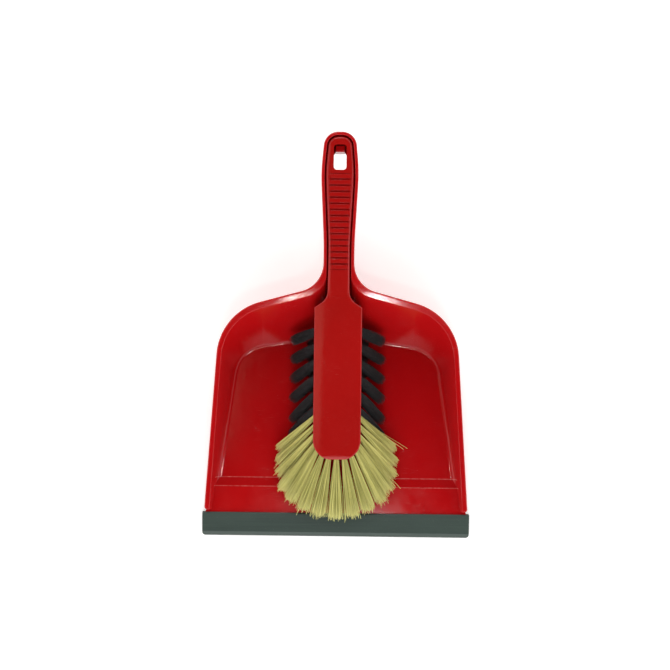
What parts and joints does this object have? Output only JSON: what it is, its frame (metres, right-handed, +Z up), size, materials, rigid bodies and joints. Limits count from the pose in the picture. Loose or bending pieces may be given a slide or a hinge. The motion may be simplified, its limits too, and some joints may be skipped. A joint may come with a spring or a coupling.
{
  "type": "dust pan and brush set",
  "caption": "Dust pan with raised walls, a rubber front lip and a trough handle, holding a nested hand brush with splayed bristle tufts, a ribbed grip and a hanging slot.",
  "frame": {"origin": "middle of the set's footprint, on the surface it rests on", "axes": "+X across the pan, +Y from the rubber lip to the handle tip, +Z up"},
  "size_m": [0.22, 0.326, 0.052],
  "materials": {
    "red_pan": "glossy moulded polypropylene",
    "red_brush": "glossy moulded polypropylene",
    "lip_rubber": "satin extruded rubber, grey green",
    "yellow_bristle": "stiff extruded filament, straw yellow",
    "black_bristle": "soft flagged filament, black",
    "anchor_wire": "flat drawn steel wire"
  },
  "bodies": {
    "pan": {"pan_body": "red_pan", "rubber_lip": "lip_rubber"},
    "brush": {"black_left_tuft_01": "black_bristle", "black_left_tuft_02": "black_bristle", "black_left_tuft_03": "black_bristle", "black_left_tuft_04": "black_bristle", "black_left_tuft_05": "black_bristle", "black_left_tuft_06": "black_bristle", "black_left_under_tuft_01": "black_bristle", "black_left_under_tuft_02": "black_bristle", "black_left_under_tuft_03": "black_bristle", "black_left_under_tuft_04": "black_bristle", "black_left_under_tuft_05": "black_bristle", "black_left_under_tuft_06": "black_bristle", "black_right_tuft_01": "black_bristle", "black_right_tuft_02": "black_bristle", "black_right_tuft_03": "black_bristle", "black_right_tuft_04": "black_bristle", "black_right_tuft_05": "black_bristle", "black_right_tuft_06": "black_bristle", "black_right_under_tuft_01": "black_bristle", "black_right_under_tuft_02": "black_bristle", "black_right_under_tuft_03": "black_bristle", "black_right_under_tuft_04": "black_bristle", "black_right_under_tuft_05": "black_bristle", "black_right_under_tuft_06": "black_bristle", "brush_body": "red_brush", "tuft_anchors": "anchor_wire", "yellow_tuft_01": "yellow_bristle", "yellow_tuft_02": "yellow_bristle", "yellow_tuft_03": "yellow_bristle", "yellow_tuft_04": "yellow_bristle", "yellow_tuft_05": "yellow_bristle", "yellow_tuft_06": "yellow_bristle", "yellow_tuft_07": "yellow_bristle", "yellow_tuft_08": "yellow_bristle", "yellow_tuft_09": "yellow_bristle", "yellow_tuft_10": "yellow_bristle", "yellow_tuft_11": "yellow_bristle", "yellow_tuft_12": "yellow_bristle", "yellow_tuft_13": "yellow_bristle", "yellow_tuft_14": "yellow_bristle", "yellow_tuft_15": "yellow_bristle", "yellow_under_tuft_01": "yellow_bristle", "yellow_under_tuft_02": "yellow_bristle", "yellow_under_tuft_03": "yellow_bristle", "yellow_under_tuft_04": "yellow_bristle", "yellow_under_tuft_05": "yellow_bristle", "yellow_under_tuft_06": "yellow_bristle", "yellow_under_tuft_07": "yellow_bristle"}
  },
  "joints": [
    {"name": "brush_lift", "type": "slide", "parent": "pan", "child": "brush", "axis": [0, 0, 1], "range_m": [0, 0.15]}
  ]
}
